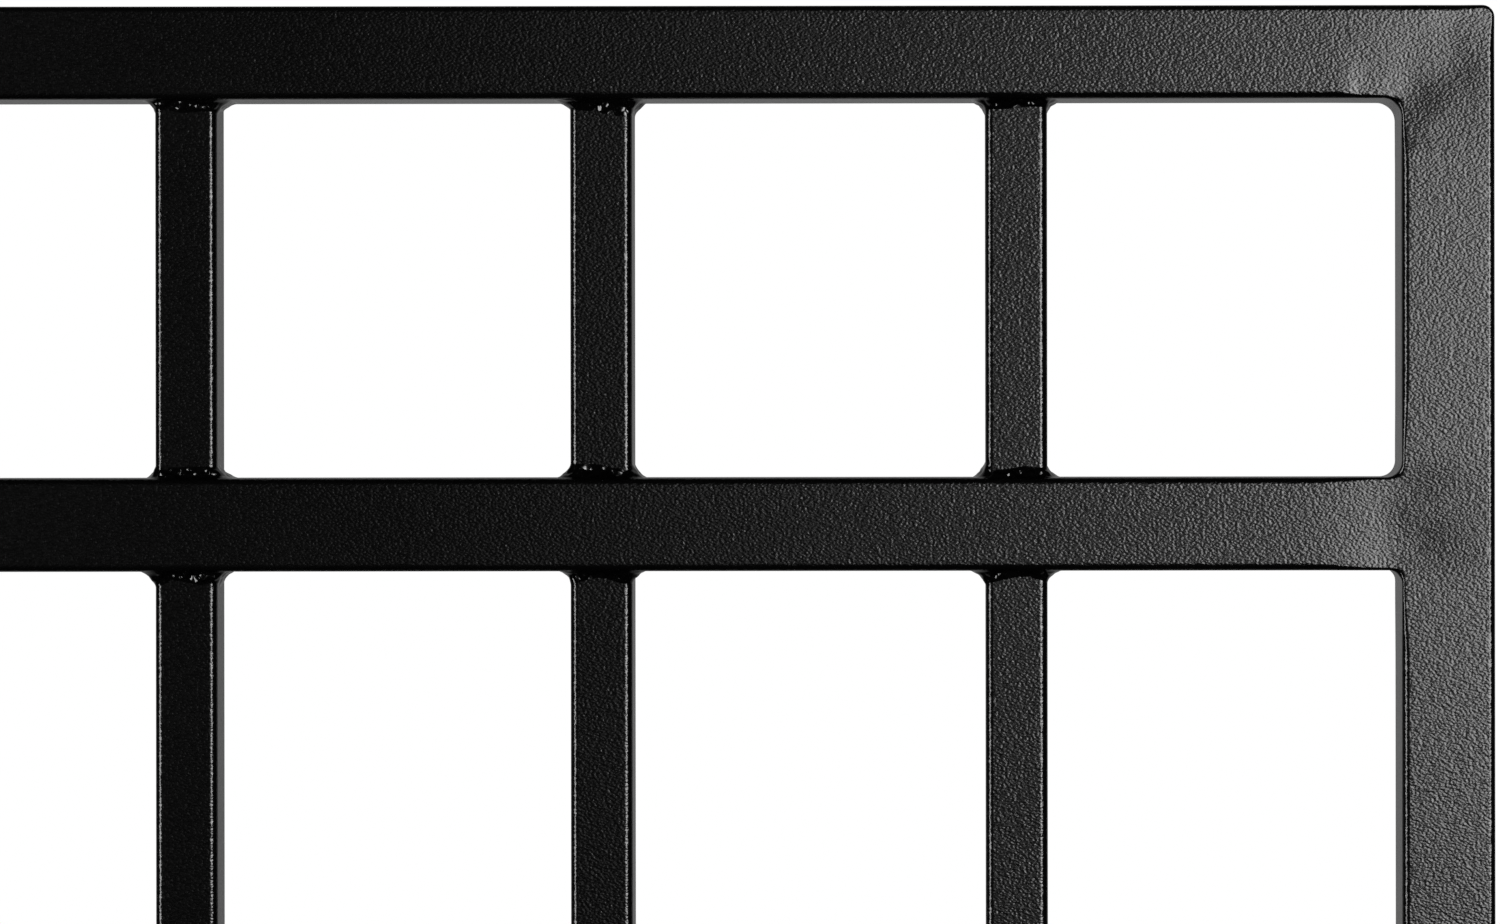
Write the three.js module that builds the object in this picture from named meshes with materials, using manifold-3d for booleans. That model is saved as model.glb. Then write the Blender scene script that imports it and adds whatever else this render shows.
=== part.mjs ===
// A fixed window security guard: a grille of square steel tube, welded together and painted black.
//
// Millimetres. The wall lies at y = 0 and the guard stands off it towards -y, so -y is the street
// side. +x is to the right as seen from the street, +z is up, and the origin is the middle of the
// guard on the wall.
//
// Four mitred tubes make the outer frame. Two cross rails of the same tube lie near its top and
// bottom, and rows of thinner pickets stand between the rails, centred in their depth. Every joint
// has its own weld, and four drilled tabs on the stiles take the wall anchors.

import * as THREE from "three";
import { LoftGeometry } from "three/addons/geometries/LoftGeometry.js";
import { mergeVertices } from "three/addons/utils/BufferGeometryUtils.js";
import Module from "manifold-3d";

// Outer frame and cross rails
const FRAME_WIDTH = 710;
const FRAME_HEIGHT = 1000;
const FRAME_TUBE = 30;
const FRAME_CORNER_RADIUS = 3.3; // outside corner of the frame, ground round after welding
const END_BAY = 122; // clear height between an end rail and its cross rail

// Pickets
const PICKET_TUBE = 20;
const PICKET_COUNT = 4;

// Both tubes
const TUBE_WALL = 1.5;
const TUBE_RADIUS = 2; // outside radius of the tube's long edges
const TUBE_EDGE_STEPS = 3;

// Welds
const GAP = 0.3; // clearance between two pieces that touch
const BUTT_WELD = 1; // thickness of the weld metal between two butted tubes
const BUTT_WELD_DEPTH = 2.5; // how far that weld reaches in from the tube's outside
const FRAME_FILLET = 4.5; // leg of the fillets in the corners of the frame
const PICKET_FILLET_SIDE = 4; // leg along the rail, beside the picket
const PICKET_FILLET_FACE = 3.4; // leg along the rail, before and behind the picket
const PICKET_FILLET_HEIGHT = 3.6; // leg along the picket
const FILLET_HOLLOW = 0.62; // how far a fillet's face dips below the straight line between its toes

// Wall tabs
const TAB_REACH = 38;
const TAB_HEIGHT = 40;
const TAB_THICKNESS = 5;
const TAB_CORNER_RADIUS = 8;
const TAB_HOLE_RADIUS = 4.5; // clears an M8 anchor
const TAB_HOLE_INSET = 16; // from the tab's outer end
const TAB_FILLET = 4.5;
const TAB_FILLET_LENGTH = 36;
const TAB_LEVEL = FRAME_HEIGHT / 6; // above and below the middle, at the third points of the height

const HALF_TUBE = FRAME_TUBE / 2;
const HALF_PICKET = PICKET_TUBE / 2;
const INNER_WIDTH = FRAME_WIDTH - 2 * FRAME_TUBE;
const CROSS_RAIL_LEVEL = FRAME_HEIGHT / 2 - FRAME_TUBE - END_BAY - HALF_TUBE;
const BUTT_CLEARANCE = BUTT_WELD + 2 * GAP; // between two tubes that a butt weld joins
const PICKET_SPACING = (INNER_WIDTH - PICKET_COUNT * PICKET_TUBE) / (PICKET_COUNT + 1) + PICKET_TUBE;

const tubeCoat = new THREE.MeshStandardMaterial({ color: 0x101011, roughness: 0.5, metalness: 0 });
const weldCoat = new THREE.MeshStandardMaterial({ color: 0x0b0b0c, roughness: 0.35, metalness: 0 });

const wasm = await Module();
wasm.setup();

function solidOf(geometry) {
  const bare = geometry.clone();
  bare.deleteAttribute("normal");
  bare.deleteAttribute("uv");
  const merged = mergeVertices(bare);
  return new wasm.Manifold(
    new wasm.Mesh({
      numProp: 3,
      vertProperties: merged.attributes.position.array,
      triVerts: new Uint32Array(merged.index.array),
    }),
  );
}

function geometryOf(solid) {
  const mesh = solid.getMesh();
  return new THREE.BufferGeometry()
    .setAttribute("position", new THREE.BufferAttribute(mesh.vertProperties, 3))
    .setIndex(new THREE.BufferAttribute(mesh.triVerts, 1));
}

function named(name, geometry, material) {
  const mesh = new THREE.Mesh(geometry, material);
  mesh.name = name;
  return mesh;
}

// A rectangle from -x to x and from yLow to yHigh, with rounded corners.
function roundedRectangle(x, yLow, yHigh, radius) {
  const shape = new THREE.Shape();
  shape.absarc(x - radius, yLow + radius, radius, -Math.PI / 2, 0);
  shape.absarc(x - radius, yHigh - radius, radius, 0, Math.PI / 2);
  shape.absarc(radius - x, yHigh - radius, radius, Math.PI / 2, Math.PI);
  shape.absarc(radius - x, yLow + radius, radius, Math.PI, 1.5 * Math.PI);
  return shape;
}

function rectangleHole(x, yLow, yHigh) {
  return new THREE.Path([
    new THREE.Vector2(-x, yLow),
    new THREE.Vector2(-x, yHigh),
    new THREE.Vector2(x, yHigh),
    new THREE.Vector2(x, yLow),
  ]);
}

// A shape extruded along +z, with its middle at z = 0.
function prism(shape, depth, curveSegments = 6) {
  const geometry = new THREE.ExtrudeGeometry(shape, { depth, bevelEnabled: false, curveSegments });
  return geometry.translate(0, 0, -depth / 2);
}

// An open-ended square tube along z.
function tube(size, length) {
  const half = size / 2;
  const bore = half - TUBE_WALL;
  const section = roundedRectangle(half, -half, half, TUBE_RADIUS);
  section.holes.push(rectangleHole(bore, -bore, bore));
  return prism(section, length, TUBE_EDGE_STEPS);
}

// The section of a fillet weld in the corner at (x, y), with its legs along +x and +y.
function filletShape(x, y, leg) {
  const shape = new THREE.Shape();
  const dip = (leg * (1 - FILLET_HOLLOW)) / 2;
  shape.moveTo(x, y);
  shape.lineTo(x + leg, y);
  shape.quadraticCurveTo(x + dip, y + dip, x, y + leg);
  return shape;
}

// A tube of the outer frame, along x with its outside facing +z and both ends mitred. Each end
// stops short of the mitre plane by half the butt weld's clearance, and its tip is ground round.
function frameMember(length) {
  const clear = BUTT_CLEARANCE / 2;
  const radius = FRAME_CORNER_RADIUS;
  const tipAngle = Math.PI / 4 + Math.asin(clear / radius);
  const tipX = length / 2 - radius;
  const tipZ = HALF_TUBE - radius;
  const innerX = length / 2 - FRAME_TUBE - clear * Math.SQRT2;

  const outline = new THREE.Shape();
  outline.moveTo(-innerX + 1, -HALF_TUBE - 1);
  outline.lineTo(innerX - 1, -HALF_TUBE - 1);
  outline.absarc(tipX, tipZ, radius, tipAngle, Math.PI / 2);
  outline.absarc(-tipX, tipZ, radius, Math.PI / 2, Math.PI - tipAngle);

  const along = tube(FRAME_TUBE, length + 2).rotateY(Math.PI / 2);
  const cut = prism(outline, FRAME_TUBE + 2).rotateX(Math.PI / 2);
  return geometryOf(solidOf(along).intersect(solidOf(cut)));
}

// The weld of a frame corner, about the middle of the corner's square, with the tubes leaving
// towards -x and -z: a thin ring in the mitre, ground flush, and a fillet inside the corner.
function cornerWeld() {
  const inner = HALF_TUBE * Math.SQRT2;
  const outer = (HALF_TUBE - FRAME_CORNER_RADIUS) * Math.SQRT2 + FRAME_CORNER_RADIUS;
  const rim = BUTT_WELD_DEPTH * Math.SQRT2;
  const root = 2.2; // the ring reaches this far into the fillet

  const ring = roundedRectangle(HALF_TUBE, -inner - root, outer, TUBE_RADIUS);
  ring.holes.push(rectangleHole(HALF_TUBE - BUTT_WELD_DEPTH, rim - inner, outer - rim));
  const mitre = prism(ring, BUTT_WELD, TUBE_EDGE_STEPS)
    .rotateX(Math.PI / 2)
    .rotateZ(Math.PI / 2)
    .rotateY(Math.PI / 4);

  const start = HALF_TUBE + GAP;
  const fillet = prism(filletShape(start, start, FRAME_FILLET), FRAME_TUBE - 2 * TUBE_RADIUS)
    .rotateX(Math.PI / 2)
    .rotateY(Math.PI);
  return { mitre, fillet };
}

// The weld where a cross rail meets a stile. The stile's face is at x = 0 and the rail leaves
// towards +x: a thin ring ground flush with the rail, and a fillet above and below it.
function crossRailWeld() {
  const bore = HALF_TUBE - BUTT_WELD_DEPTH;
  const ring = roundedRectangle(HALF_TUBE, -HALF_TUBE, HALF_TUBE, TUBE_RADIUS);
  ring.holes.push(rectangleHole(bore, -bore, bore));
  const butt = prism(ring, BUTT_WELD, TUBE_EDGE_STEPS).rotateY(Math.PI / 2);
  butt.translate(GAP + BUTT_WELD / 2, 0, 0);

  const foot = HALF_TUBE + GAP;
  const depth = FRAME_TUBE - 2 * TUBE_RADIUS;
  const section = new THREE.Shape();
  const dip = (FRAME_FILLET * (1 - FILLET_HOLLOW)) / 2;
  section.moveTo(GAP, bore);
  section.lineTo(GAP + BUTT_WELD, bore);
  section.lineTo(GAP + BUTT_WELD, foot);
  section.lineTo(GAP + FRAME_FILLET, foot);
  section.quadraticCurveTo(GAP + dip, foot + dip, GAP, foot + FRAME_FILLET);
  const below = prism(section, depth).rotateX(-Math.PI / 2);
  const above = below.clone().rotateX(Math.PI);
  return geometryOf(solidOf(butt).add(solidOf(above)).add(solidOf(below)));
}

// The fillet weld around a picket's end. The rail's face is at z = 0 and the picket hangs from it.
function picketWeld() {
  const side = HALF_PICKET + GAP;
  const dip = (1 - FILLET_HOLLOW) / 2;
  // Share of the leg along the rail, and of the leg along the picket, round the bead's section
  const section = [
    [0, 0],
    [0, 1],
    [dip, (1 + dip) / 2 - 0.1],
    [(1 + dip) / 2 - 0.1, dip],
    [1, 0],
    [0, 0],
  ];
  const rings = section.map(([out, down]) => {
    const x = side + out * PICKET_FILLET_SIDE;
    const y = side + out * PICKET_FILLET_FACE;
    const radius = TUBE_RADIUS + GAP + out * PICKET_FILLET_FACE;
    const outline = roundedRectangle(x, -y, y, radius).getPoints(2);
    outline.pop();
    return outline.map((p) => new THREE.Vector3(p.x, p.y, -GAP - down * PICKET_FILLET_HEIGHT));
  });
  return new LoftGeometry(rings);
}

// A wall tab, reaching from x = 0 towards +x, with its back on the wall at y = 0.
function wallTab() {
  const half = TAB_HEIGHT / 2;
  const radius = TAB_CORNER_RADIUS;
  const shape = new THREE.Shape();
  shape.moveTo(0, half);
  shape.lineTo(0, -half);
  shape.absarc(TAB_REACH - radius, radius - half, radius, -Math.PI / 2, 0);
  shape.absarc(TAB_REACH - radius, half - radius, radius, 0, Math.PI / 2);
  const hole = new THREE.Path();
  hole.absarc(TAB_REACH - TAB_HOLE_INSET, 0, TAB_HOLE_RADIUS, 0, 2 * Math.PI, true);
  shape.holes.push(hole);
  return prism(shape, TAB_THICKNESS, 12)
    .rotateX(Math.PI / 2)
    .translate(0, -TAB_THICKNESS / 2, 0);
}

// The fillet that joins a tab's front to the side of its stile, which is at x = 0.
function tabWeld() {
  return prism(filletShape(0, 0, TAB_FILLET), TAB_FILLET_LENGTH).rotateZ(-Math.PI / 2);
}

const guard = new THREE.Group();
guard.name = "window_security_guard";

// Everything but the tabs lies about the middle of the frame's depth.
const grille = new THREE.Group();
grille.position.y = -HALF_TUBE;
guard.add(grille);

// Outer frame: each side is turned about y, with its outside away from the middle.
const sides = [
  { name: "top_rail", length: FRAME_WIDTH, distance: FRAME_HEIGHT / 2, turn: 0 },
  { name: "right_stile", length: FRAME_HEIGHT, distance: FRAME_WIDTH / 2, turn: Math.PI / 2 },
  { name: "bottom_rail", length: FRAME_WIDTH, distance: FRAME_HEIGHT / 2, turn: Math.PI },
  { name: "left_stile", length: FRAME_HEIGHT, distance: FRAME_WIDTH / 2, turn: -Math.PI / 2 },
];
for (const { name, length, distance, turn } of sides) {
  const side = named(name, frameMember(length), tubeCoat);
  side.position.set(Math.sin(turn), 0, Math.cos(turn)).multiplyScalar(distance - HALF_TUBE);
  side.rotation.y = turn;
  grille.add(side);
}

const { mitre, fillet } = cornerWeld();
const cornerGeometry = geometryOf(solidOf(mitre).add(solidOf(fillet)));
const corners = [
  { name: "top_right", x: 1, z: 1, turn: 0 },
  { name: "bottom_right", x: 1, z: -1, turn: Math.PI / 2 },
  { name: "bottom_left", x: -1, z: -1, turn: Math.PI },
  { name: "top_left", x: -1, z: 1, turn: -Math.PI / 2 },
];
for (const { name, x, z, turn } of corners) {
  const weld = named(`corner_weld_${name}`, cornerGeometry, weldCoat);
  weld.position.set(x * (FRAME_WIDTH / 2 - HALF_TUBE), 0, z * (FRAME_HEIGHT / 2 - HALF_TUBE));
  weld.rotation.y = turn;
  grille.add(weld);
}

// Cross rails, with a weld at each end
const crossRailGeometry = tube(FRAME_TUBE, INNER_WIDTH - 2 * BUTT_CLEARANCE).rotateY(Math.PI / 2);
const crossRailWeldGeometry = crossRailWeld();
for (const [level, z] of [["upper", CROSS_RAIL_LEVEL], ["lower", -CROSS_RAIL_LEVEL]]) {
  const rail = named(`${level}_cross_rail`, crossRailGeometry, tubeCoat);
  rail.position.z = z;
  grille.add(rail);
  for (const [end, sign, turn] of [["left", -1, 0], ["right", 1, Math.PI]]) {
    const weld = named(`cross_rail_weld_${level}_${end}`, crossRailWeldGeometry, weldCoat);
    weld.position.set((sign * INNER_WIDTH) / 2, 0, z);
    weld.rotation.z = turn;
    grille.add(weld);
  }
}

// Pickets: one row between each pair of neighbouring rails
const endBayTop = FRAME_HEIGHT / 2 - FRAME_TUBE;
const middleBayTop = CROSS_RAIL_LEVEL - HALF_TUBE;
const rows = [
  { row: "upper", top: endBayTop, bottom: endBayTop - END_BAY },
  { row: "middle", top: middleBayTop, bottom: -middleBayTop },
  { row: "lower", top: END_BAY - endBayTop, bottom: -endBayTop },
];
const picketWeldGeometry = picketWeld();
for (const { row, top, bottom } of rows) {
  const picketGeometry = tube(PICKET_TUBE, top - bottom - 2 * GAP);
  for (let i = 0; i < PICKET_COUNT; i++) {
    const x = (i - (PICKET_COUNT - 1) / 2) * PICKET_SPACING;
    const picket = named(`picket_${i + 1}_${row}`, picketGeometry, tubeCoat);
    picket.position.set(x, 0, (top + bottom) / 2);
    grille.add(picket);
    for (const [end, z, turn] of [["top", top, 0], ["bottom", bottom, Math.PI]]) {
      const weld = named(`picket_weld_${i + 1}_${row}_${end}`, picketWeldGeometry, weldCoat);
      weld.position.set(x, 0, z);
      weld.rotation.x = turn;
      grille.add(weld);
    }
  }
}

// Wall tabs: the left pair is the right pair turned half round, about y
const tabGeometry = wallTab();
const tabWeldGeometry = tabWeld();
for (const [end, sign] of [["left", -1], ["right", 1]]) {
  for (const [level, z] of [["upper", TAB_LEVEL], ["lower", -TAB_LEVEL]]) {
    const place = new THREE.Group();
    place.position.set(sign * (FRAME_WIDTH / 2 + GAP), 0, z);
    place.rotation.y = sign > 0 ? 0 : Math.PI;
    const tab = named(`wall_tab_${end}_${level}`, tabGeometry, tubeCoat);
    const weld = named(`tab_weld_${end}_${level}`, tabWeldGeometry, weldCoat);
    weld.position.y = -TAB_THICKNESS - GAP;
    place.add(tab, weld);
    guard.add(place);
  }
}

export default guard;
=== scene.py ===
# A fixed window security guard, as it looks: square steel tube, welded, ground and powder-coated black.
#
# Metres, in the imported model's frame: the wall is the plane y = 0, the street side faces -y, and z is
# up. One fine piece stands for each CAD node. The tubes get rolled edges, true walls and the shallow
# hollows that grinding leaves at the flush joints. The welds get beads, and every surface gets its coat.

import math
import random

import bmesh
import bpy
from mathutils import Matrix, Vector, noise


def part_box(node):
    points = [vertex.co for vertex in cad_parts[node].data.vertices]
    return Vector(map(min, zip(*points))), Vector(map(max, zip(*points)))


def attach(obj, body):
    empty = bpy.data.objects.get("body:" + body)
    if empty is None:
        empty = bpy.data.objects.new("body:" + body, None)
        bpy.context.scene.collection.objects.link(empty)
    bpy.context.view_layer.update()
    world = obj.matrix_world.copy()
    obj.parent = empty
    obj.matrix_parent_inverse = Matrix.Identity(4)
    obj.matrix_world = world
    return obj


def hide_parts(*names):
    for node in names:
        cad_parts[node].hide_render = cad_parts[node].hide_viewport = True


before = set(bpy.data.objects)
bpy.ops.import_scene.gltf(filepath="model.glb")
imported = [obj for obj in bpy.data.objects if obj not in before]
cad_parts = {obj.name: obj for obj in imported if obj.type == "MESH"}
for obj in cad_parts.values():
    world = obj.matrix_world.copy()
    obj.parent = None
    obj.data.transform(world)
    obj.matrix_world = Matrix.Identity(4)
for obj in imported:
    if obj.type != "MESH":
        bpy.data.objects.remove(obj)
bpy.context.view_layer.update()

MM = 0.001
QUARTER_TURN = math.radians(90)
SHARP_ANGLE = math.radians(40)  # faces that meet more sharply are shaded apart

# Tube
WALL = 1.5 * MM
ROLLED_RADIUS = 2.4 * MM  # the tube's long edges, as rolled
OUTER_RADIUS = 2 * MM  # those round the outside of the frame
OUTER_FADE_RATE = 2.5  # how much sooner those return to their rolled radius
GROUND_RADIUS = 1.1 * MM  # the same edges where a joint beside them was ground flush
GROUND_REACH = 6 * MM  # how far from a joint an edge keeps its ground radius
GROUND_FADE = 24 * MM  # how far beyond that it takes to return to its rolled one
BORE_RADIUS = 0.5 * MM
EDGE_STEPS = 8
EDGE_MARGIN = 0.12 * MM  # width of the strip that keeps a flat's shading out of its edges
FACE_STEPS = 13
SIDE_STEPS = 4
FRAME_STEPS = (0.5 * MM, 1.13, 9 * MM)  # along a tube: the first step, its growth and the longest
CROSS_RAIL_STEPS = (1 * MM, 1.1, 9 * MM)
PICKET_STEPS = (5 * MM, 1.5, 40 * MM)
BESIDE_RAIL_STEP = 2 * MM  # along a stile, where a cross rail meets it
BESIDE_RAIL_STEPS = 17  # on either side of the cross rail's middle
LEAN_FADE = 60 * MM  # from a mitre to the first section that stands square to its tube

# Ground joints
MITRE_WELD = 1 * MM  # thickness of the weld metal in a mitre
BUTT_WELD = 1 * MM  # thickness of the weld metal between a cross rail and its stile
TIP_RADIUS = 3.9 * MM  # outside corners of the frame
GRIND_DEPTH = 0.5 * MM
GRIND_WIDTH = 16 * MM  # either side of a joint
GRIND_SHIFT = 1.5 * MM  # from the joint towards the stile
GRIND_LENGTH = 17 * MM  # either side of a cross rail's middle
GRIND_PATCH = 15 * MM  # size of the uneven patches in a ground area
GRIND_UNEVEN = 0.6  # share of the depth by which the patches differ from it
GRIND_FACE_SHIFT = 7  # keeps the patches in front and behind from being alike
GRIND_LEAST = 1e-4  # share of the depth that counts as untouched
CORNER_FILLET = 6 * MM
OVER_RAIL_FILLET = 5.2 * MM  # on the side of a cross rail that faces the nearer end of the guard
UNDER_RAIL_FILLET = 4.2 * MM
FILLET_EDGE = 0.4  # how much wider a fillet's front edge is rounded, for the room that it has
FILLET_LUMP = 0.22 * MM  # height of the lumps in a fillet's hollow
FILLET_LUMP_SIZE = 5 * MM  # through the depth
FILLET_LUMPS = 2.2  # for each radian round the corner
FILLET_LUMP_FADE = 2 * MM  # from the front or back to where the lumps are full
FILLET_ARC_STEPS = 14
FILLET_DEPTH_STEPS = 14

# Picket welds
SIDE_LEG = 4.3 * MM  # along the rail, beside the picket
FACE_LEG = 3.1 * MM  # along the rail, before and behind it
SIDE_RISE = 3.9 * MM  # along the picket, on its sides
FACE_RISE = 3.7 * MM  # along the picket, on its front and back
LEG_SPREAD = 1.3 * MM
LEG_WAVES = 6  # in the unevenness of a weld, the slowest of them once along it
WAVE_FALL = 0.4  # how much weaker each faster wave is
BEAD_HOLLOW = 0.68  # share of a full quarter-round hollow in a bead's face
HOLLOW_SPREAD = 0.2
RIPPLE_PITCH = 1.5 * MM
RIPPLE_HEIGHT = 0.05 * MM
RIPPLE_BOW = 0.5 * MM  # how far a ripple is bowed along its weld
LUMP_SIZE = 2.2 * MM
LUMP_HEIGHT = 1 * MM
SIDE_LUMP = 0.35  # share of that on a picket's sides
ROOT = 0.4 * MM  # how far a bead reaches into the metal that it joins
UNDERSIDE = 0.8  # share of the front leg that the hidden side of a bead reaches out
BEAD_AROUND = 176  # points round a picket
BEAD_ACROSS = 12  # strips from the rail to the picket

# Wall tabs
TAB_CORNER = 8 * MM
TAB_INNER_CORNER = 0.75 * MM  # beside the stile
TAB_HOLE = 4.5 * MM
TAB_HOLE_INSET = 16 * MM
TAB_EDGE = 0.5 * MM
TAB_EDGE_STEPS = 3
TAB_FLAT_STEPS = 8
TAB_LEG = 4.5 * MM
TAB_HOLLOW = 0.4
TAB_RIPPLE_BOW = 0.6 * MM
TAB_BEAD_SHORT = 4 * MM  # how much shorter than its tab a bead is
TAB_BEAD_TAPER = 4 * MM
TAB_BEAD_ALONG = 72
TAB_BEAD_ACROSS = 9

# Coat
GRAIN_SIZE = 0.95 * MM
FINE_SIZE = 0.4 * MM
PEEL_SIZE = 3.2 * MM
PEEL_HEIGHT = 0.02 * MM
CLOUD_SIZE = 40 * MM  # of the slow changes of tone
NOISE_MIDDLE = (0.3, 0.7)  # where most of a noise's values lie
NOISE_ROUGHNESS = 0.55
GRAIN_TURN = (0.5, 0.7, 0.3)  # keeps the noise's lattice from lying along the tubes
GRAIN_SQUEEZE = (1, 1, 1.5)
TUBE_COAT = (0.105 * MM, 0.02 * MM, (0.17, 0.21))  # height of the grain and the finer one, roughness
WELD_COAT = (0.015 * MM, 0.006 * MM, (0.1, 0.14))
COAT_DARK = (0.0003, 0.0003, 0.0003)
COAT_LIGHT = (0.0006, 0.0006, 0.0006)
COAT_IOR = 1.5

# Stage
FLOOR_DARK = (0.8, 0.8, 0.79)
FLOOR_LIGHT = (0.84, 0.84, 0.83)
FLOOR_CLOUD = 0.3
FLOOR_ROUGHNESS = 0.7
FLOOR_RADIUS = 7
FLOOR_SIDES = 96
SURROUNDINGS_DIM = 0.01  # what the coat reflects from the street side
SURROUNDINGS_PALE = 0.25  # and from the wall side
SURROUNDINGS_TURN = (0.15, 0.8)  # where one gives way to the other
SOFT_AMBIENT = 0.6
SOFTBOXES = {  # centre, aim, width, height and radiance
    "fill_light": ((0.34, -3, 0.56), (0.34, 0, 0.56), 0.68, 1.6, 0.35),
    "key_light": ((1, -3, 0.56), (1, 0, 0.56), 0.64, 1.6, 7.5),
    "edge_light": ((1.6, -3, 0.56), (1.6, 0, 0.56), 0.56, 1.6, 15),
    "left_light": ((-1, -1, 0.36), (0.15, 0, 0.36), 0.36, 1.3, 10),
}
SENSOR_WIDTH = 36
LENS = 128.35
LENS_SHIFT = (-0.1398, -0.0316)
CAMERA_DISTANCE = 1.75
CAMERA_INSET = (172.3 * MM, 131.7 * MM)  # from the guard's right side and its top
CAMERA_ROLL = math.radians(0.07)

random.seed(11)


def extent(node, axis):
    low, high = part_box(node)
    return low[axis], high[axis]


def middle(node, axis):
    low, high = extent(node, axis)
    return (low + high) / 2


def half_extent(node, axis):
    low, high = extent(node, axis)
    return (high - low) / 2


# The guard's own sizes, from the CAD nodes
half_tube = half_extent("right_stile", 0)
half_picket = half_extent("picket_1_upper", 0)
half_width = extent("right_stile", 0)[1]
half_height = extent("top_rail", 2)[1]
depth_middle = middle("top_rail", 1)
inner_x = half_width - 2 * half_tube
inner_z = half_height - 2 * half_tube
rail_level = middle("upper_cross_rail", 2)
picket_rows = ("upper", "middle", "lower")
picket_count = sum(name.startswith("picket_") and name.endswith("_upper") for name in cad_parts)


def smooth(t):
    """Eases from 0 to 1 as t does, and stays there."""
    t = min(max(t, 0), 1)
    return t * t * (3 - 2 * t)


def mix(a, b, t):
    return a + (b - a) * t


def quarter(steps):
    """The angles of a quarter turn cut into equal steps."""
    return [QUARTER_TURN * k / steps for k in range(steps + 1)]


# ---------------------------------------------------------------- shapes


def rounded_rectangle(half_u, half_v, radii, u_steps, v_steps):
    """Points round a rectangle with rounded corners, from its +u side's front end.

    The radii belong to the corners (+u, -v), (+u, +v), (-u, +v) and (-u, -v). The flats along v have
    u_steps strips and those along u have v_steps.
    """
    points = []
    corners = [(1, -1), (1, 1), (-1, 1), (-1, -1)]
    for i, (su, sv) in enumerate(corners):
        radius = radii[i]
        centre = Vector((su * (half_u - radius), sv * (half_v - radius)))
        start = QUARTER_TURN * (i - 1)
        arc = []
        for turn in quarter(EDGE_STEPS):
            angle = start + turn
            arc.append(centre + radius * Vector((math.cos(angle), math.sin(angle))))
        points += arc
        nu, nv = corners[(i + 1) % 4]
        next_radius = radii[(i + 1) % 4]
        next_centre = Vector((nu * (half_u - next_radius), nv * (half_v - next_radius)))
        end = start + QUARTER_TURN
        flat_end = next_centre + next_radius * Vector((math.cos(end), math.sin(end)))
        flat = flat_end - arc[-1]
        margin = EDGE_MARGIN / flat.length
        steps = u_steps if i % 2 == 0 else v_steps
        points += [arc[-1] + flat * mix(margin, 1 - margin, k / steps) for k in range(steps + 1)]
    return points


def tube_section(half, radii):
    return rounded_rectangle(half, half, radii, SIDE_STEPS, FACE_STEPS)


def bore_section(half):
    return tube_section(half - WALL, [BORE_RADIUS] * 4)


def loft(bm, rings):
    """Joins rings of equally many points, one after another and the last to the first."""
    rows = [[bm.verts.new(point) for point in ring] for ring in rings]
    count = len(rows[0])
    for row, following in zip(rows, rows[1:] + rows[:1]):
        for k in range(count):
            j = (k + 1) % count
            bm.faces.new((row[k], row[j], following[j], following[k]))


def strip_solid(bm, lines):
    """A solid from closed section lines laid side by side, capped at both ends."""
    rows = [[bm.verts.new(point) for point in line] for line in lines]
    count = len(rows[0])
    for row, following in zip(rows, rows[1:]):
        for k in range(count):
            j = (k + 1) % count
            bm.faces.new((row[k], row[j], following[j], following[k]))
    bm.faces.new(rows[0])
    bm.faces.new(rows[-1])


def piece(bm, name, material):
    """Turns a finished shape into a piece of the guard that stands for the CAD node of that name."""
    bmesh.ops.recalc_face_normals(bm, faces=bm.faces)
    mesh = bpy.data.meshes.new(name)
    bm.to_mesh(mesh)
    bm.free()
    mesh.shade_smooth()
    mesh.set_sharp_from_angle(angle=SHARP_ANGLE)
    mesh.materials.append(material)
    made = bpy.data.objects.new(name, mesh)
    bpy.context.scene.collection.objects.link(made)
    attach(made, "root")
    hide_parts(name)


# ---------------------------------------------------------------- what grinding did


def edge_radius(distance, rolled=ROLLED_RADIUS):
    """The radius of a tube's long edge, so far from a joint that was ground flush."""
    return mix(GROUND_RADIUS, rolled, smooth((distance - GROUND_REACH) / GROUND_FADE))


def grinding(x, z, face):
    """How far grinding has sunk the front (face -1) or back (face 1) of the guard at x, z."""
    beyond_x = abs(x) - (half_width - half_tube)
    beyond_z = abs(z) - (half_height - half_tube)
    from_mitre = (beyond_x - beyond_z) / math.sqrt(2) - GRIND_SHIFT / 2
    sunk = math.exp(-((from_mitre / GRIND_WIDTH) ** 2))
    if min(beyond_x, beyond_z) < -2 * half_tube:
        sunk = 0
    from_butt = abs(x) - inner_x - GRIND_SHIFT
    from_rail = abs(z) - rail_level
    sunk += math.exp(-((from_butt / GRIND_WIDTH) ** 2) - (from_rail / GRIND_LENGTH) ** 4)
    if sunk < GRIND_LEAST:
        return 0
    uneven = noise.noise(Vector((x / GRIND_PATCH, GRIND_FACE_SHIFT * face, z / GRIND_PATCH)))
    return GRIND_DEPTH * sunk * (1 + GRIND_UNEVEN * uneven)


def ground(point, half):
    """Moves a point of the frame to where it lies after the joints were ground."""
    x, y, z = point
    over_x = abs(x) - (half_width - TIP_RADIUS)
    over_z = abs(z) - (half_height - TIP_RADIUS)
    if over_x > 0 and over_z > 0:
        shrink = max(over_x, over_z) / math.hypot(over_x, over_z)
        x = math.copysign(half_width - TIP_RADIUS + over_x * shrink, x)
        z = math.copysign(half_height - TIP_RADIUS + over_z * shrink, z)
    depth = (y - depth_middle) / half
    face = math.copysign(1, depth)
    return Vector((x, y - face * depth * depth * grinding(x, z, face), z))


# ---------------------------------------------------------------- tubes


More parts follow.
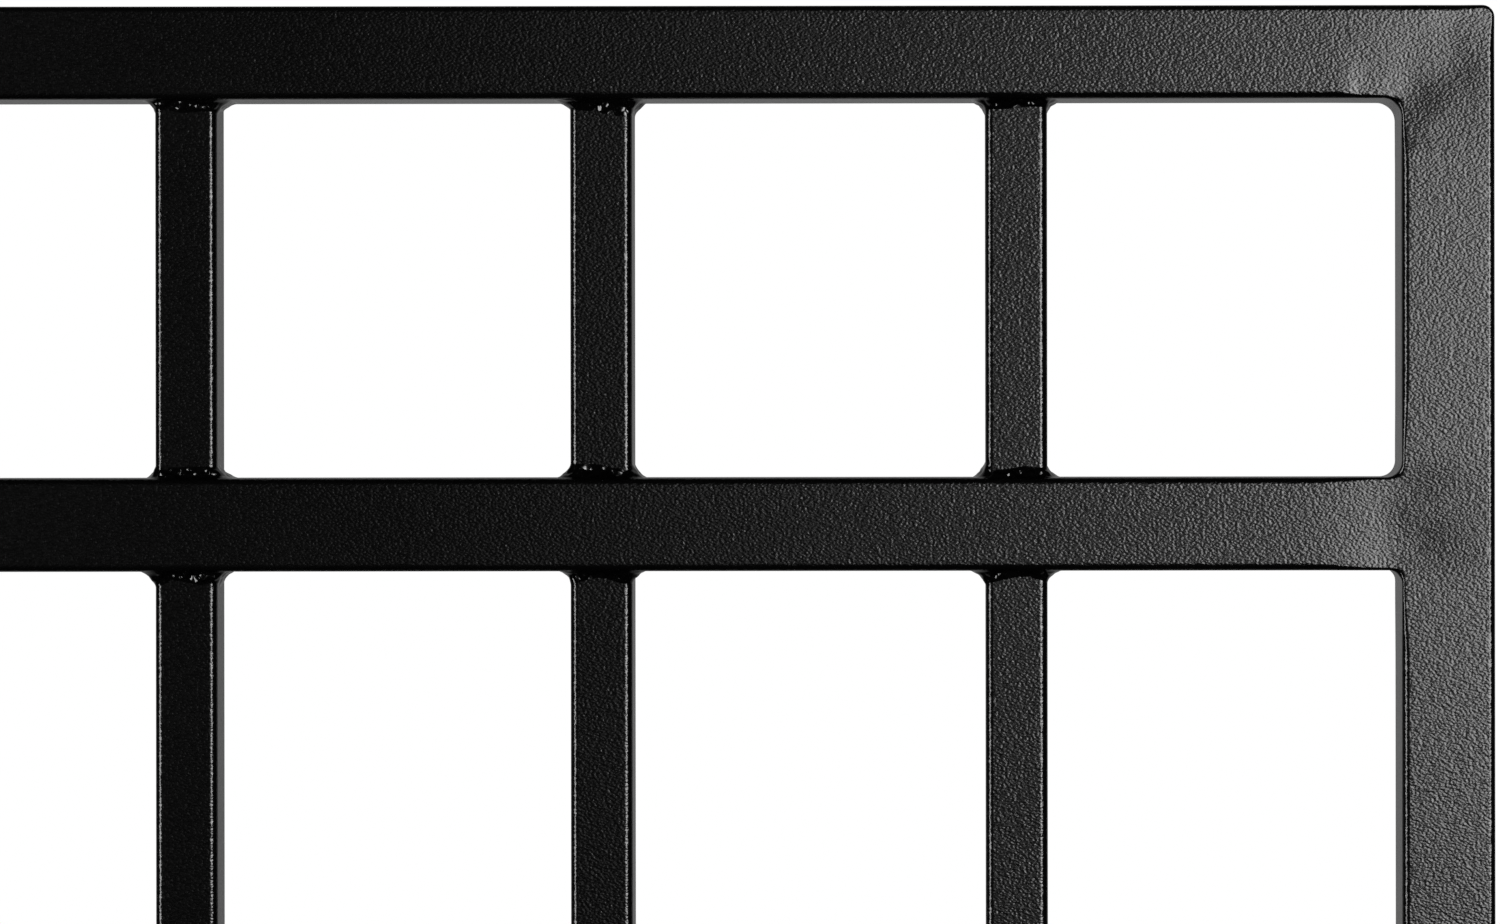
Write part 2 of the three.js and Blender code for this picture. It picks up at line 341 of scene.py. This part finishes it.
def stations(length, first, growth, longest):
    """Places along a tube, closest together at its ends."""
    steps = []
    total = 0
    step = first
    while total < length / 2:
        steps.append(total)
        total += step
        step = min(step * growth, longest)
    return [t - length / 2 for t in steps] + [length / 2 - t for t in reversed(steps)]


class Member:
    """A straight tube through a point, with its own directions along and outwards."""

    def __init__(self, centre, along, out, half):
        self.centre = Vector(centre)
        self.along = Vector(along)
        self.out = Vector(out)
        self.half = half

    def place(self, t, u, v):
        return self.centre + self.along * t + self.out * u + Vector((0, v, 0))

    def ring(self, points, t, shear=0):
        """A section at t, leaning so that its outer side lies further along by shear times u."""
        return [ground(self.place(t + shear * u, u, v), self.half) for u, v in points]


def frame_side(centre, along, out, length):
    """One side of the outer frame, and its two mitred end sections with their bores."""
    member = Member(centre, along, out, half_tube)
    stop = MITRE_WELD / math.sqrt(2)
    reach = length / 2 - half_tube - stop
    places = stations(2 * reach, *FRAME_STEPS)
    is_stile = member.along.x == 0
    if is_stile:
        fine = [k * BESIDE_RAIL_STEP for k in range(-BESIDE_RAIL_STEPS, BESIDE_RAIL_STEPS + 1)]
        places = [t for t in places if abs(abs(t) - rail_level) > fine[-1]]
        places = sorted(places + [s * rail_level + k for s in (-1, 1) for k in fine])

    outer = []
    for t in places:
        from_end = reach - abs(t)
        shear = math.copysign(max(0, 1 - from_end / LEAN_FADE), t)
        inner = edge_radius(from_end)
        if is_stile:
            inner = min(inner, edge_radius(abs(abs(t) - rail_level) - half_tube))
        outside = edge_radius(GROUND_REACH + OUTER_FADE_RATE * from_end, OUTER_RADIUS)
        outer.append(member.ring(tube_section(half_tube, [outside, outside, inner, inner]), t, shear))
    bore = [member.ring(bore_section(half_tube), s * reach, s) for s in (-1, 1)]
    return outer, bore


def frame_pieces(coat):
    """The four mitred tubes round the outside, and the welds between them."""
    sides = {  # outwards, along and half the length
        "top_rail": ((0, 1), (1, 0), half_width),
        "right_stile": ((1, 0), (0, -1), half_height),
        "bottom_rail": ((0, -1), (-1, 0), half_width),
        "left_stile": ((-1, 0), (0, 1), half_height),
    }
    made = {}
    for name, ((out_x, out_z), (along_x, along_z), half_length) in sides.items():
        centre = (
            out_x * (half_width - half_tube),
            depth_middle,
            out_z * (half_height - half_tube),
        )
        outer, bore = frame_side(centre, (along_x, 0, along_z), (out_x, 0, out_z), 2 * half_length)
        made[name] = outer, bore
        bm = bmesh.new()
        loft(bm, outer + bore[::-1])
        piece(bm, name, coat)

    order = list(sides)
    corners = ["top_right", "bottom_right", "bottom_left", "top_left"]
    for i, corner in enumerate(corners):
        arriving, leaving = made[order[i]], made[order[(i + 1) % 4]]
        bm = bmesh.new()
        loft(bm, [arriving[0][-1], leaving[0][0], leaving[1][0], arriving[1][-1]])
        sx = 1 if corner.endswith("right") else -1
        sz = 1 if corner.startswith("top") else -1
        inside_fillet(bm, CORNER_FILLET, sx * inner_x, sz * inner_z, sx, sz)
        piece(bm, f"corner_weld_{corner}", coat)


def rounded_edge(radius, to_flat, width, depth):
    """A fillet's edge, from the flat beside it to its hollow, as distances from its axis and depths."""
    points = [(to_flat, 0)]
    for turn in quarter(EDGE_STEPS):
        points.append((radius + width * (1 - math.sin(turn)), depth * (1 - math.cos(turn))))
    return points


def inside_fillet(bm, radius, corner_x, corner_z, sx, sz):
    """Fills an inside corner of the grille. The metal lies towards sx from it, and towards sz."""
    centre_x = corner_x - sx * radius
    centre_z = corner_z - sz * radius
    seed = random.uniform(0, 100)
    lines = []
    for angle in quarter(FILLET_ARC_STEPS):
        ray = Vector((sx * math.cos(angle), sz * math.sin(angle)))
        free = math.sin(2 * angle)
        to_flat = (radius + GROUND_RADIUS) / max(math.cos(angle), math.sin(angle))
        wide = GROUND_RADIUS + FILLET_EDGE * (to_flat - radius - GROUND_RADIUS)
        front = rounded_edge(radius, to_flat, wide, wide)
        back = rounded_edge(radius, to_flat, GROUND_RADIUS, GROUND_RADIUS)
        profile = [(out, depth - half_tube) for out, depth in front]
        for k in range(1, FILLET_DEPTH_STEPS):
            depth = mix(wide - half_tube, half_tube - GROUND_RADIUS, k / FILLET_DEPTH_STEPS)
            profile.append((radius, depth))
        profile += [(out, half_tube - depth) for out, depth in reversed(back)]
        line = []
        for out, depth in profile:
            lump = noise.noise(Vector((seed + FILLET_LUMPS * angle, depth / FILLET_LUMP_SIZE, 0)))
            sink = FILLET_LUMP * lump * free * smooth((half_tube - abs(depth)) / FILLET_LUMP_FADE)
            x = centre_x + ray.x * (out + sink)
            z = centre_z + ray.y * (out + sink)
            line.append(ground((x, depth_middle + depth, z), half_tube))
        lines.append(line)
    strip_solid(bm, lines)


def cross_rail_pieces(level, coat):
    """A cross rail and the two welds that hold it between the stiles."""
    name = f"{level}_cross_rail"
    height = middle(name, 2)
    member = Member((0, depth_middle, height), (1, 0, 0), (0, 0, 1), half_tube)
    reach = inner_x - BUTT_WELD
    outer = []
    for t in stations(2 * reach, *CROSS_RAIL_STEPS):
        radius = edge_radius(reach - abs(t))
        outer.append(member.ring(tube_section(half_tube, [radius] * 4), t))
    bore = [member.ring(bore_section(half_tube), s * reach) for s in (-1, 1)]
    bm = bmesh.new()
    loft(bm, outer + bore[::-1])
    piece(bm, name, coat)

    section = tube_section(half_tube, [GROUND_RADIUS] * 4)
    over, under = (1, -1) if level == "upper" else (-1, 1)
    ends = {"left": (-1, outer[0], bore[0]), "right": (1, outer[-1], bore[-1])}
    for end, (sign, outside, inside) in ends.items():
        bm = bmesh.new()
        against = on_stile(member, section, sign)
        bore_against = on_stile(member, bore_section(half_tube), sign)
        loft(bm, [outside, against, bore_against, inside])
        for side, radius in ((over, OVER_RAIL_FILLET), (under, UNDER_RAIL_FILLET)):
            inside_fillet(bm, radius, sign * inner_x, height + side * half_tube, sign, -side)
        piece(bm, f"cross_rail_weld_{level}_{end}", coat)


def on_stile(member, section, sign):
    """A cross rail's section carried along to the surface of the stile on that side."""
    points = []
    for u, v in section:
        into_edge = min(max(abs(v) - (half_tube - GROUND_RADIUS), 0), GROUND_RADIUS)
        retreat = GROUND_RADIUS - math.sqrt(GROUND_RADIUS**2 - into_edge**2)
        points.append(ground(member.place(sign * (inner_x + retreat), u, v), half_tube))
    return points


# ---------------------------------------------------------------- pickets


def picket_pieces(number, row, coat, bead):
    """One length of picket and the welds at its ends."""
    name = f"picket_{number}_{row}"
    x = middle(name, 0)
    bottom, top = picket_span(row)
    member = Member((x, depth_middle, (bottom + top) / 2), (0, 0, 1), (1, 0, 0), half_picket)
    length = top - bottom
    section = tube_section(half_picket, [ROLLED_RADIUS] * 4)
    outer = [member.ring(section, t) for t in stations(length, *PICKET_STEPS)]
    bore = [member.ring(bore_section(half_picket), s * length / 2) for s in (-1, 1)]
    bm = bmesh.new()
    loft(bm, outer + bore[::-1])
    piece(bm, name, coat)
    for end, z, away in (("top", top, -1), ("bottom", bottom, 1)):
        bm = bmesh.new()
        collar(bm, x, z, away)
        piece(bm, f"picket_weld_{number}_{row}_{end}", bead)


def picket_span(row):
    """The lowest and highest point of the pickets in a row, at the faces of the rails."""
    under_rail = rail_level - half_tube
    over_rail = rail_level + half_tube
    return {
        "upper": (over_rail, inner_z),
        "middle": (-under_rail, under_rail),
        "lower": (-inner_z, -over_rail),
    }[row]


def wander(phases, turn):
    """A smooth uneven number from about -1 to 1, round a full turn from 0 to 1."""
    waves = [math.sin(math.tau * ((k + 1) * turn + phase)) for k, phase in enumerate(phases)]
    return sum(wave / (1 + WAVE_FALL * k) for k, wave in enumerate(waves)) / 2


def random_phases(count):
    """Phases for so many uneven numbers."""
    return [[random.random() for _ in range(LEG_WAVES)] for _ in range(count)]


def bead_face(leg, rise, hollow, t):
    """Out from the picket and up from the rail, at a share t of the way across a bead's face."""
    angle = QUARTER_TURN * t
    return leg * mix(1 - t, 1 - math.sin(angle), hollow), rise * mix(t, 1 - math.cos(angle), hollow)


def ripple(run, bow):
    """The height of a weld's ripples so far along it."""
    return RIPPLE_HEIGHT * abs(math.sin(math.pi * (run + bow) / RIPPLE_PITCH))


def collar(bm, x, z, away):
    """The fillet weld round a picket's end at height z. The picket leaves upwards if away is 1."""
    phases = random_phases(3)
    path = picket_outline()
    face = [[] for _ in range(BEAD_ACROSS + 1)]
    upper_root = []
    lower_root = []
    for i, (point, normal, run) in enumerate(path):
        turn = i / BEAD_AROUND
        sideways = normal.x**2
        leg = mix(FACE_LEG, SIDE_LEG, sideways) + LEG_SPREAD * wander(phases[0], turn)
        rise = mix(FACE_RISE, SIDE_RISE, sideways) + LEG_SPREAD * wander(phases[1], turn)
        hollow = BEAD_HOLLOW + HOLLOW_SPREAD * wander(phases[2], turn)
        for k in range(BEAD_ACROSS + 1):
            t = k / BEAD_ACROSS
            out, up = bead_face(leg, rise, hollow, t)
            crest = math.sin(math.pi * t)
            flat = point + normal * out
            lump = noise.noise(Vector((x + flat.x, flat.y, z + away * up)) / LUMP_SIZE)
            lump *= mix(1, SIDE_LUMP, sideways)
            swell = crest * (ripple(run, RIPPLE_BOW * crest) + LUMP_HEIGHT * lump)
            out += swell
            up += swell
            face[k].append(bead_point(point, normal, out, up, 1 - t, x, z, away))
        upper_root.append(bead_point(point, normal, -ROOT, rise, 0, x, z, away))
        lower_root.append(bead_point(point, normal, -ROOT, -ROOT, 1, x, z, away))
    reach = FACE_LEG * UNDERSIDE
    under = [bead_point(point, normal, reach, -ROOT, 1, x, z, away) for point, normal, _ in path]
    loft(bm, face + [upper_root, lower_root, under])


def picket_outline():
    """Points round a picket at even spacing, each with its outward direction and its run."""
    flat = half_picket - ROLLED_RADIUS
    side_run = 2 * flat + QUARTER_TURN * ROLLED_RADIUS
    found = []
    for i in range(BEAD_AROUND):
        run = 4 * side_run * i / BEAD_AROUND
        side, rest = divmod(run, side_run)
        if rest < 2 * flat:
            local = Vector((half_picket, rest - flat))
            normal = Vector((1, 0))
        else:
            angle = (rest - 2 * flat) / ROLLED_RADIUS
            normal = Vector((math.cos(angle), math.sin(angle)))
            local = Vector((flat, flat)) + normal * ROLLED_RADIUS
        turned = QUARTER_TURN * side
        found.append((rotated(local, turned), rotated(normal, turned), run))
    return found


def rotated(vector, angle):
    cos, sin = math.cos(angle), math.sin(angle)
    return Vector((cos * vector.x - sin * vector.y, sin * vector.x + cos * vector.y))


def bead_point(point, normal, out, up, on_rail, x, z, away):
    """A point of a bead, out from the picket's surface and up from the rail's.

    Its share on_rail follows the rail's rounded edges where the bead reaches over them.
    """
    flat = point + normal * out
    over_edge = abs(flat.y) - (half_tube - ROLLED_RADIUS)
    drop = 0
    if over_edge > 0:
        over_edge = min(over_edge, ROLLED_RADIUS)
        drop = ROLLED_RADIUS - math.sqrt(ROLLED_RADIUS**2 - over_edge**2)
    return Vector((x + flat.x, depth_middle + flat.y, z + away * (up - drop * on_rail)))


# ---------------------------------------------------------------- wall tabs


def tab_pieces(end, level, coat, bead):
    """A wall tab with its hole, and the weld that holds it to its stile."""
    node = f"wall_tab_{end}_{level}"
    sign = -1 if end == "left" else 1
    low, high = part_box(node)
    reach = max(abs(low.x), abs(high.x)) - half_width
    thick = high.y - low.y
    height = high.z - low.z
    centre = Vector((sign * (half_width + reach / 2), high.y, middle(node, 2)))
    hole = reach / 2 - TAB_HOLE_INSET

    def place(u, v, depth):
        return centre + Vector((sign * u, -depth, v))

    def outline(inset):
        radii = [TAB_CORNER - inset] * 2 + [TAB_INNER_CORNER] * 2
        halves = reach / 2 - inset, height / 2 - inset
        return rounded_rectangle(*halves, radii, TAB_FLAT_STEPS, TAB_FLAT_STEPS)

    def bore(widen):
        found = []
        for u, v in outline(0):
            direction = Vector((u - hole, v)).normalized()
            found.append(Vector((hole, 0)) + direction * (TAB_HOLE + widen))
        return found

    def ring(section, depth):
        return [place(u, v, depth) for u, v in section]

    eased = []
    for turn in quarter(TAB_EDGE_STEPS):
        eased.append((TAB_EDGE * (1 - math.sin(turn)), TAB_EDGE * (1 - math.cos(turn))))
    rings = [ring(outline(inset), depth) for inset, depth in eased]
    rings += [ring(outline(inset), thick - depth) for inset, depth in reversed(eased)]
    rings += [ring(bore(widen), thick - depth) for widen, depth in eased]
    rings += [ring(bore(widen), depth) for widen, depth in reversed(eased)]
    bm = bmesh.new()
    loft(bm, rings)
    piece(bm, node, coat)

    bm = bmesh.new()
    tab_bead(bm, sign, centre, thick, height)
    piece(bm, f"tab_weld_{end}_{level}", bead)


def tab_bead(bm, sign, centre, thick, height):
    """The fillet between a tab's front and the side of its stile, with tapered ends."""
    phases = random_phases(2)
    length = height - TAB_BEAD_SHORT
    lines = []
    for i in range(1, TAB_BEAD_ALONG):
        turn = i / TAB_BEAD_ALONG
        run = length * i / TAB_BEAD_ALONG
        from_end = min(run, length - run)
        full = math.sqrt(1 - (1 - min(from_end / TAB_BEAD_TAPER, 1)) ** 2)
        leg = full * (TAB_LEG + LEG_SPREAD * wander(phases[0], turn))
        rise = full * (TAB_LEG + LEG_SPREAD * wander(phases[1], turn))
        line = []
        for k in range(TAB_BEAD_ACROSS + 1):
            t = k / TAB_BEAD_ACROSS
            out, up = bead_face(leg, rise, TAB_HOLLOW, t)
            crest = math.sin(math.pi * t)
            bump = ripple(run, TAB_RIPPLE_BOW * crest) * crest * full
            line.append((out + bump, up + bump))
        line += [(-ROOT, rise), (-ROOT, -ROOT), (leg, -ROOT)]
        z = centre.z - length / 2 + run
        lines.append([Vector((sign * (half_width + out), -thick - up, z)) for out, up in line])
    strip_solid(bm, lines)


# ---------------------------------------------------------------- materials


class Nodes:
    """A short way to add nodes to a material and link them."""

    def __init__(self, tree):
        self.tree = tree

    def add(self, kind, **settings):
        node = self.tree.nodes.new(kind)
        for name, value in settings.items():
            setattr(node, name, value)
        return node

    def link(self, output, target):
        self.tree.links.new(output, target)

    def noise(self, where, size, detail):
        """Noise whose coarsest features are about that size."""
        made = self.add("ShaderNodeTexNoise", noise_dimensions="3D")
        made.inputs["Scale"].default_value = 1 / size
        made.inputs["Detail"].default_value = detail
        made.inputs["Roughness"].default_value = NOISE_ROUGHNESS
        self.link(where, made.inputs["Vector"])
        return made.outputs["Fac"]

    def math(self, operation, a, b):
        made = self.add("ShaderNodeMath", operation=operation)
        for socket, value in zip(made.inputs, (a, b)):
            if isinstance(value, (int, float)):
                socket.default_value = value
            else:
                self.link(value, socket)
        return made.outputs[0]

    def spread(self, value, low, high):
        """Maps the middle of a noise's range to low..high."""
        made = self.add("ShaderNodeMapRange")
        made.inputs["From Min"].default_value = NOISE_MIDDLE[0]
        made.inputs["From Max"].default_value = NOISE_MIDDLE[1]
        made.inputs["To Min"].default_value = low
        made.inputs["To Max"].default_value = high
        self.link(value, made.inputs["Value"])
        return made.outputs["Result"]

    def two_tone(self, value, dark, light):
        """Mixes two colours by a value from 0 to 1."""
        made = self.add("ShaderNodeMix", data_type="RGBA")
        made.inputs["A"].default_value = (*dark, 1)
        made.inputs["B"].default_value = (*light, 1)
        self.link(value, made.inputs["Factor"])
        return made.outputs["Result"]


def black_coat(name, grain_height, fine_height, roughness):
    """Black powder coat: a baked-on grain with a finer one in it, over a slight orange peel."""
    material = bpy.data.materials.new(name)
    material.use_nodes = True
    shader = material.node_tree.nodes["Principled BSDF"]
    nodes = Nodes(material.node_tree)
    where = nodes.add("ShaderNodeTexCoord").outputs["Object"]

    turned = nodes.add("ShaderNodeMapping")
    turned.inputs["Rotation"].default_value = GRAIN_TURN
    turned.inputs["Scale"].default_value = GRAIN_SQUEEZE
    nodes.link(where, turned.inputs["Vector"])
    grain = nodes.noise(turned.outputs["Vector"], GRAIN_SIZE, 0)
    fine = nodes.noise(turned.outputs["Vector"], FINE_SIZE, 0)
    peel = nodes.noise(where, PEEL_SIZE, 1)
    cloud = nodes.noise(where, CLOUD_SIZE, 3)

    height = nodes.math("MULTIPLY", grain, grain_height)
    height = nodes.math("ADD", height, nodes.math("MULTIPLY", fine, fine_height))
    height = nodes.math("ADD", height, nodes.math("MULTIPLY", peel, PEEL_HEIGHT))
    bump = nodes.add("ShaderNodeBump")
    bump.inputs["Distance"].default_value = 1
    bump.inputs["Strength"].default_value = 1
    nodes.link(height, bump.inputs["Height"])
    nodes.link(bump.outputs["Normal"], shader.inputs["Normal"])

    tone = nodes.two_tone(nodes.spread(cloud, 0, 1), COAT_DARK, COAT_LIGHT)
    nodes.link(tone, shader.inputs["Base Color"])
    low, high = roughness
    nodes.link(nodes.spread(grain, low, high), shader.inputs["Roughness"])
    shader.inputs["IOR"].default_value = COAT_IOR
    return material


def floor_material():
    material = bpy.data.materials.new("pale_floor")
    material.use_nodes = True
    shader = material.node_tree.nodes["Principled BSDF"]
    nodes = Nodes(material.node_tree)
    where = nodes.add("ShaderNodeTexCoord").outputs["Object"]
    tone = nodes.two_tone(nodes.noise(where, FLOOR_CLOUD, 2), FLOOR_DARK, FLOOR_LIGHT)
    nodes.link(tone, shader.inputs["Base Color"])
    shader.inputs["Roughness"].default_value = FLOOR_ROUGHNESS
    return material


# ---------------------------------------------------------------- stage


def softbox(name, centre, aim, width, height, radiance):
    """A soft light that the camera doesn't see."""
    light = bpy.data.lights.new(name, "AREA")
    light.shape = "RECTANGLE"
    light.size = width
    light.size_y = height
    light.energy = radiance * math.pi * width * height
    lamp = bpy.data.objects.new(name, light)
    bpy.context.scene.collection.objects.link(lamp)
    lamp.location = centre
    lamp.rotation_euler = (Vector(aim) - Vector(centre)).to_track_quat("-Z", "Y").to_euler()
    lamp.visible_camera = False


def studio():
    """A white backdrop seen by the camera, dark surroundings and soft lights."""
    world = bpy.data.worlds.new("studio")
    bpy.context.scene.world = world
    world.use_nodes = True
    nodes = Nodes(world.node_tree)
    backdrop = world.node_tree.nodes["Background"]
    backdrop.inputs["Color"].default_value = (1, 1, 1, 1)
    direction = nodes.add("ShaderNodeTexCoord").outputs["Generated"]
    parts = nodes.add("ShaderNodeSeparateXYZ")
    nodes.link(direction, parts.inputs[0])
    ramp = nodes.add("ShaderNodeMapRange", interpolation_type="SMOOTHSTEP")
    ramp.inputs["From Min"].default_value = SURROUNDINGS_TURN[0]
    ramp.inputs["From Max"].default_value = SURROUNDINGS_TURN[1]
    ramp.inputs["To Min"].default_value = SURROUNDINGS_DIM
    ramp.inputs["To Max"].default_value = SURROUNDINGS_PALE
    nodes.link(parts.outputs["Y"], ramp.inputs["Value"])
    path = nodes.add("ShaderNodeLightPath")
    strength = nodes.math("MAXIMUM", ramp.outputs["Result"], path.outputs["Is Camera Ray"])
    diffuse = nodes.math("MULTIPLY", path.outputs["Is Diffuse Ray"], SOFT_AMBIENT)
    strength = nodes.math("MAXIMUM", strength, diffuse)
    nodes.link(strength, backdrop.inputs["Strength"])

    for name, settings in SOFTBOXES.items():
        softbox(name, *settings)


def floor():
    """The plain floor that the guard stands on."""
    bm = bmesh.new()
    bmesh.ops.create_circle(bm, cap_ends=True, segments=FLOOR_SIDES, radius=FLOOR_RADIUS)
    mesh = bpy.data.meshes.new("floor")
    bm.to_mesh(mesh)
    bm.free()
    mesh.materials.append(floor_material())
    laid = bpy.data.objects.new("floor", mesh)
    laid.location.z = -half_height
    bpy.context.scene.collection.objects.link(laid)
    laid.visible_glossy = False


def camera():
    """A long lens square to the guard, before its top right corner."""
    data = bpy.data.cameras.new("camera")
    data.sensor_width = SENSOR_WIDTH
    data.lens = LENS
    data.shift_x, data.shift_y = LENS_SHIFT
    seen = bpy.data.objects.new("camera", data)
    bpy.context.scene.collection.objects.link(seen)
    inset_x, inset_z = CAMERA_INSET
    seen.location = (half_width - inset_x, -CAMERA_DISTANCE, half_height - inset_z)
    seen.rotation_euler = (QUARTER_TURN, CAMERA_ROLL, 0)
    bpy.context.scene.camera = seen


# ---------------------------------------------------------------- the guard

coat = black_coat("black_powder_coat", *TUBE_COAT)
bead_coat = black_coat("black_coat_on_weld", *WELD_COAT)

frame_pieces(coat)
for rail in ("upper", "lower"):
    cross_rail_pieces(rail, coat)
for number in range(1, picket_count + 1):
    for row in picket_rows:
        picket_pieces(number, row, coat, bead_coat)
for tab_end in ("left", "right"):
    for tab_level in ("upper", "lower"):
        tab_pieces(tab_end, tab_level, coat, bead_coat)

studio()
floor()
camera()
bpy.context.scene.view_settings.view_transform = "Standard"
